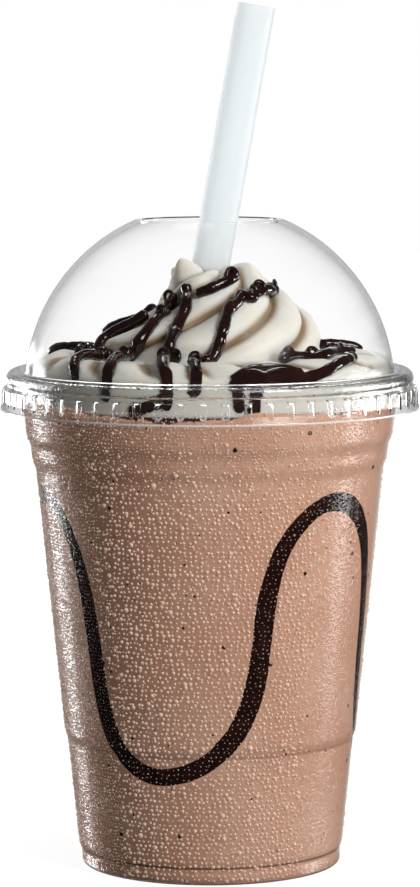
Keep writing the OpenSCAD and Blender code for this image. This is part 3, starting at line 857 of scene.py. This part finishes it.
# Each strand's path over the cream: angle from the front and outline place
strandPaths = (
    ((-67, 9.4), (-69, 8.9), (-76, 8), (-72, 6.9), (-66, 6.1)),
    ((-60, 5.2), (-56, 4.3), (-52, 3.3), (-47, 2.4), (-45, 1.7)),
    ((-44, 10.4), (-44, 9.9), (-40, 9.2), (-38, 8.4), (-40, 7.4), (-42, 6.6), (-44, 5.8)),
    ((-42, 5.2), (-38, 4.5), (-35, 3.4), (-33, 2.4), (-33, 0.6)),
    ((-29, 11.5), (-22, 10.6), (-19, 9.8), (-21, 8.8), (-20, 7.8), (-20, 6.8), (-19, 5.8)),
    ((-18, 4.4), (-15, 2.9), (-13, 2.1), (-13, 0.3)),
    ((28, 11), (20, 10.3), (13, 9.8), (8, 8.8), (5, 7.8), (2, 6.6), (-3, 5.4)),
    ((-7, 4.4), (-5, 3.3), (-4, 2.2), (-5, 0.9)),
    ((-12, 10.8), (-4, 11), (8, 11.4), (24, 11.9), (34, 12.2)),
    ((27, 11), (31, 10.5), (41, 10.9), (60, 11.1), (76, 11.2)),
    ((30, 4.6), (44, 5), (58, 4.7), (72, 4.9), (88, 4.3)),
    ((24, 1.8), (34, 2.1), (42, 2.6), (52, 3.1), (62, 3.6)),
    ((7, 2), (8, 1.4), (9, 0.2)),
    ((14, 2), (14, 1.2), (13, 0.1)),
    ((-13, 0.9), (-18, 0.5), (-22, 0.3), (-25, 0.2)),
    ((-50, 1.2), (-56, 0.6), (-63, 0.3)),
    ((118, 2.6), (122, 5), (117, 7.4), (124, 9.4), (132, 11)),
    ((160, 2.2), (166, 4.6), (160, 7), (170, 9), (176, 11.4)),
    ((206, 2.4), (200, 4.6), (206, 7), (198, 9), (192, 10.8)),
    ((246, 2.4), (252, 4.8), (246, 7), (254, 8.6), (258, 9.8)),
)
# Curls where the strands folded on themselves: angle, outline place and radius in millimetres
curls = ((-44, 10.4, 1.8), (-37, 9.4, 1.7), (-45, 6, 1.8), (-38, 4.6, 1.6), (-17, 5.4, 1.9), (-18, 4.2, 1.6),
    (-6, 4.6, 1.6), (-60, 5.3, 1.8), (-72, 5, 1.9), (-84, 4.8, 1.6), (24, 11.9, 1.9), (41, 10.9, 2),
    (74, 11.2, 1.9), (36, 4.8, 1.8), (52, 5, 2.1), (80, 4.7, 2))
curlShape = {
    "scale": 1.15,             # makes all the curls larger or smaller
    "stand": 1.9 * mm,         # height of its middle over the cream
    "tilt": 0.35,              # how far it looks along the cream's normal, and not level
    "ring": 0.7,               # from here on shares of its radius
    "warp": 0.12,
    "tube": 0.24,
    "blob": 0.72,
    "post": ((-2.8, 0.5), (-2.4, 0.9), (-1.4, 1), (-1, 0.9), (-0.8, 0.5)),   # millimetres out, and width
    "rings": 28,
}
# The pool at the right front: angle and outline place, and rise and radius in millimetres
pool = ((7, 1.9, -0.5, 1.8), (15, 2.7, -0.8, 3.1), (22, 2.6, -0.8, 3.1), (30, 2.4, -0.5, 1.8))


def smoothPath(points, steps):
    # The same curve, with steps samples from each point to the next
    spans = len(points) - 1
    return curveThrough(np.array(points, float), np.linspace(0, spans, spans * steps + 1))[0]


def tube(name, line, radius, up, sides=12):
    # A profile carried along a path: the circle of each ring stands across the line's direction
    ahead = unit(np.gradient(line, axis=0))
    side = unit(np.cross(up, ahead))
    lift = np.cross(ahead, side)
    t = np.linspace(0, 2 * math.pi, sides, endpoint=False)[:, None]
    ring = side[:, None] * np.cos(t) + lift[:, None] * np.sin(t)
    return skin(name, line[:, None] + ring * radius[:, None, None], line[0], line[-1])


def creamNormal(angle, u):
    here, _ = creamPoint(angle, u)
    raised, _ = creamPoint(angle, u, 1 * mm)
    return unit(raised - here)


def makeStrand(index, path, rng):
    # A tube along the path, with rounded ends and an uneven thickness
    line = smoothPath(path, strandShape["steps"])
    middle, _ = creamPoint(line[:, 0], line[:, 1], strandShape["radius"] * strandShape["stand"],
        strandShape["bridge"])
    t = np.linspace(0, 1, len(line))
    taper = np.sqrt(np.clip(np.minimum(t, 1 - t) * len(line) / 4 + 0.25, 0, 1))
    swell = 1 + sum(size * ripple(middle, 6, length, rng) for size, length in strandShape["swell"])
    up = creamNormal(line[:, 0], line[:, 1])
    return tube(f"strand{index}", middle, strandShape["radius"] * taper * swell, up)


def makeCurl(index, angle, u, radius):
    # A small upright ring of sauce in front of a blob. It faces away from the cup's axis, a little upwards,
    # and is bent out of its plane by warp sin(t + angle)
    angle, u = np.array(float(angle)), np.array(float(u))
    centre, _ = creamPoint(angle, u, curlShape["stand"])
    out = unit(around(1, np.radians(angle), 0) + curlShape["tilt"] * creamNormal(angle, u))
    side = unit(np.cross([0, 0, 1], out))
    lift = np.cross(out, side)
    t = np.linspace(0, 2 * math.pi, curlShape["rings"])[:, None]
    line = centre + (side * np.cos(t) + lift * np.sin(t)) * radius * curlShape["ring"]
    line = line + out * radius * curlShape["warp"] * np.sin(t + angle)
    ring = tube(f"curl{index}", line, np.full(len(line), radius * curlShape["tube"]),
        np.broadcast_to(out, line.shape))
    reach, width = np.array(curlShape["post"]).T
    post = centre + out * reach[:, None] * mm
    widths = width * radius * curlShape["blob"]
    return ring, tube(f"blob{index}", post, widths, np.broadcast_to(side, post.shape))


def makePool():
    # One thick tube of sauce along the pool's path, sunk into the cream
    line = smoothPath(pool, 10)
    middle, _ = creamPoint(line[:, 0], line[:, 1], line[:, 2] * mm)
    return tube("pool", middle, line[:, 3] * mm, creamNormal(line[:, 0], line[:, 1]), 20)


def keepUnderDome(piece):
    # Draws points that would touch the lid back to a dome-shaped limit: a cylinder with a half ball on it
    points = np.empty(len(piece.data.vertices) * 3)
    piece.data.vertices.foreach_get("co", points)
    points = points.reshape(-1, 3)
    base = np.array([0, 0, 1]) * np.minimum(points[:, 2:], strandShape["domeHeight"])
    reach = np.linalg.norm(points - base, axis=1, keepdims=True)
    points = base + (points - base) * np.minimum(1, strandShape["domeRadius"] / np.maximum(reach, 1 * mm))
    piece.data.vertices.foreach_set("co", points.ravel())
    piece.data.update()


def makeCreamSauce(shape):
    rng = np.random.default_rng(shape["seed"])
    parts = [makeStrand(i, path, rng) for i, path in enumerate(strandPaths)]
    for i, (angle, u, radius) in enumerate(curls):
        parts += makeCurl(i, angle, u, curlShape["scale"] * radius * mm)
    parts.append(makePool())
    with bpy.context.temp_override(active_object=parts[0], selected_editable_objects=parts, object=parts[0]):
        bpy.ops.object.join()
    sauce = parts[0]
    sauce.name = "sauce_drizzle"
    remesh = sauce.modifiers.new("remesh", "REMESH")
    remesh.mode = "VOXEL"
    remesh.voxel_size = shape["voxel"]
    smooth = sauce.modifiers.new("smooth", "SMOOTH")
    smooth.factor = 0.5
    smooth.iterations = shape["smoothing"]
    settle(sauce)
    keepUnderDome(sauce)
    return sauce


place(makeCreamSauce(strandShape), "cup", "sauce",
    makeSauceMaterial("sauce on the cream", *sauceLook["onCream"], sauceLook["gloss"]), "cream_sauce")


# Condensation

dropShape = {
    "low": 1.3 * mm,
    "high": cupTop - 6.5 * mm,
    "clear": (72, 12),         # angle of the dry strip and half its width, in degrees
    "fineLeft": (-38, 16),     # the beads are fine to the left of this angle, over this blend
    "fineRight": (38, 14),     # and to the right of this one
    # They turn fine towards the lid too: where that starts and is full, and the share that it reaches
    "fineTop": (cupTop - 32 * mm, cupTop - 14 * mm, 0.95),
    "back": (90, 110),         # degrees, from where to where on both sides they are large again
    "bulge": 1.0,              # height of a bead as a share of its radius
    "sunk": 0.03 * mm,         # into the wall
    "overSauce": 0.38,         # size of a bead over the sauce on the wall, as a share
    "seed": 8,
}
beadShape = {
    "pitch": 1.3 * mm,
    "jitter": 0.25,            # share of the pitch
    "size": 0.35 * mm,
    "spread": 0.22,            # of the logarithm of the size
    "large": (0.02, 1.4),      # share of the beads that are larger, and how much
    "sides": 7,
    "levels": 3,
    "cover": (0.5, 0.85),      # how much of the bead's look hides the wall, in its middle and at its rim
}
mistShape = {
    "pitch": 0.95 * mm,
    "jitter": 0.3,
    "size": 0.21 * mm,
    "atEdge": 0.08 * mm,       # added towards the outline that the front shows
    "edge": (45, 62),          # degrees, from where to where it is added
    "spread": 0.25,
    "between": 0.06,           # share of the places that it takes among the large beads
    "sparse": (32, 46, 0.8),   # degrees, from where to where it thins out on the right, and how much
    "sides": 5,
    "levels": 2,
    "cover": (0.4, 0.75),
}
dropLook = {
    # Painted light: a pale warm colour for the bright spot that each clear drop makes by bending the light
    "colour": rgb(255, 230, 210),
    "roughness": 0.1,
    "specular": 1.0,
    "lessShadow": 0.5,         # share of a bead's shadow that is left out
}


def scatter(pitch, jitter, rng):
    # Rows of points round the wall, pitch apart, each row turned and each point shifted at random
    rowGap = pitch * 0.87
    angles, heights = [], []
    for z in np.arange(dropShape["low"], dropShape["high"], rowGap):
        count = int(2 * math.pi * wallRadius(z) / pitch)
        turn = rng.uniform(0, 2 * math.pi)
        shift = rng.uniform(-jitter, jitter, (2, count))
        angles.append(turn + 2 * math.pi * (np.arange(count) + shift[0]) / count)
        heights.append(z + shift[1] * rowGap)
    angle = (np.concatenate(angles) + math.pi) % (2 * math.pi) - math.pi
    return angle, np.concatenate(heights)


def makeDrops(name, angle, z, radius, sides, levels):
    # Domes on the wall: rings at rising angles f, with radius a cos f and height bulge a sin f
    out = wallNormal(angle, z)
    side = unit(np.cross([0.0, 0.0, 1.0], out))
    lift = np.cross(out, side)
    base = around(wallRadius(z), angle, z) - out * dropShape["sunk"]
    t = np.linspace(0, 2 * math.pi, sides, endpoint=False)
    f = np.linspace(0, math.pi / 2, levels + 1)[:-1]
    flat = (np.cos(f)[:, None, None] * np.stack([np.cos(t), np.sin(t)], axis=-1)).reshape(-1, 2)
    tall = np.repeat(dropShape["bulge"] * np.sin(f), sides)
    size = radius[:, None, None]
    points = base[:, None] + size * (side[:, None] * flat[:, :1] + lift[:, None] * flat[:, 1:]
        + out[:, None] * tall[:, None])
    tips = base + out * radius[:, None] * dropShape["bulge"]
    points = np.concatenate([points, tips[:, None]], axis=1)
    each = points.shape[1]
    ring = np.arange(sides)
    beside = np.roll(ring, -1)
    quads = np.concatenate([np.stack([ring, beside, beside + sides, ring + sides], axis=-1) + k * sides
        for k in range(levels - 1)])
    last = (levels - 1) * sides
    caps = np.concatenate([np.stack([ring + last, beside + last, np.full(sides, each - 1)], axis=-1),
        np.stack([np.zeros(sides - 2, int), ring[2:], ring[1:-1]], axis=-1)])
    offsets = (np.arange(len(angle)) * each)[:, None, None]
    return buildMesh(name, points, quads + offsets, caps + offsets)


def makeDropMaterial(name, middle, rim):
    # Water bead: clear in part, and glossy for the rest, more so at its rim; its pale colour is painted
    # light.
    # Its inner side stays clear, and half of the light passes through.
    material, graph = newMaterial(name)
    away = graph.node("ShaderNodeNewGeometry", output="Backfacing")
    clear = graph.node("ShaderNodeBsdfTransparent")
    glossWithPaintedLight = graph.principled(Base_Color=dropLook["colour"], Roughness=dropLook["roughness"],
        Specular_IOR_Level=dropLook["specular"])
    facing = graph.node("ShaderNodeLayerWeight", None, {"Blend": 0.5}, output="Facing")
    shade = 1 - dropLook["lessShadow"] * graph.node("ShaderNodeLightPath", output="Is Shadow Ray")
    graph.finish(graph.mixShader((1 - away) * shade * facing.ramp(0, 0.8, middle, rim), clear, glossWithPaintedLight))
    return material


def onSauce(angle, z):
    # Size of a bead: smaller over the sauce on the wall and 1 away from it, by the distance to the
    # nearest point of the wave
    phase = np.linspace(0, 360 * waveShape["count"], 360, endpoint=False)
    height = waveShape["middle"] + waveShape["reach"] * np.cos(np.radians(phase))
    turn = np.radians(waveAngle(phase))[:, None] - angle
    across = wallRadius(z) * ((turn + math.pi) % (2 * math.pi) - math.pi)
    away = np.sqrt((across ** 2 + (height[:, None] - z) ** 2).min(axis=0))
    least = dropShape["overSauce"]
    return least + (1 - least) * rise(away, 0.5 * waveShape["width"], 0.75 * waveShape["width"])


def makeCondensation(shape):
    # Large beads in two pieces, one above the other, then the mist
    rng = np.random.default_rng(shape["seed"])
    middle, half = shape["clear"]
    leftEdge, leftBlend = shape["fineLeft"]
    rightEdge, rightBlend = shape["fineRight"]
    topStart, topFull, topShare = shape["fineTop"]
    backStart, backFull = shape["back"]

    def wetness(angle):
        # 0 in the dry strip and 1 outside it, the same on the far side of the cup
        away = np.abs((np.degrees(angle) - middle + 90) % 180 - 90)
        return rise(away, half * 0.7, half * 1.7)

    def fineness(angle, z):
        # 1 where only mist lies: at the left, at the right and close under the lid, but not at the back
        turn = np.degrees(angle)
        left = band(turn, -backFull, -backStart, leftEdge - leftBlend / 2, leftEdge + leftBlend / 2)
        right = band(turn, rightEdge - rightBlend / 2, rightEdge + rightBlend / 2, backStart, backFull)
        return np.maximum(np.maximum(left, right), topShare * rise(z, topStart, topFull))

    beads, mist = beadShape, mistShape
    angle, z = scatter(beads["pitch"], beads["jitter"], rng)
    keep = rng.uniform(size=len(angle)) < wetness(angle) * (1 - fineness(angle, z))
    angle, z = angle[keep], z[keep]
    size = beads["size"] * np.exp(rng.normal(0, beads["spread"], len(angle))) * onSauce(angle, z)
    largeShare, growth = beads["large"]
    size = np.where(rng.uniform(size=len(angle)) < largeShare, size * growth, size)
    halfWay = len(angle) // 2
    material = makeDropMaterial("water beads", *beads["cover"])
    for name, part in (("beads_low", slice(0, halfWay)), ("beads_high", slice(halfWay, None))):
        drops = makeDrops(name, angle[part], z[part], size[part], beads["sides"], beads["levels"])
        place(drops, "cup", "cup_plastic", material)

    angle, z = scatter(mist["pitch"], mist["jitter"], rng)
    sparseStart, sparseFull, thinned = mist["sparse"]
    sparse = 1 - thinned * rise(np.degrees(angle), sparseStart, sparseFull)
    keep = rng.uniform(size=len(angle)) < wetness(angle) * (mist["between"] + fineness(angle, z)) * sparse
    angle, z = angle[keep], z[keep]
    towardsEdge = rise(np.abs(np.degrees(angle)), *mist["edge"])
    size = (mist["size"] + mist["atEdge"] * towardsEdge) * np.exp(rng.normal(0, mist["spread"], len(angle)))
    size = size * np.maximum(onSauce(angle, z), 0.8 * towardsEdge)
    place(makeDrops("mist_beads", angle, z, size, mist["sides"], mist["levels"]), "cup", "cup_plastic",
        makeDropMaterial("mist", *mist["cover"]))


makeCondensation(dropShape)
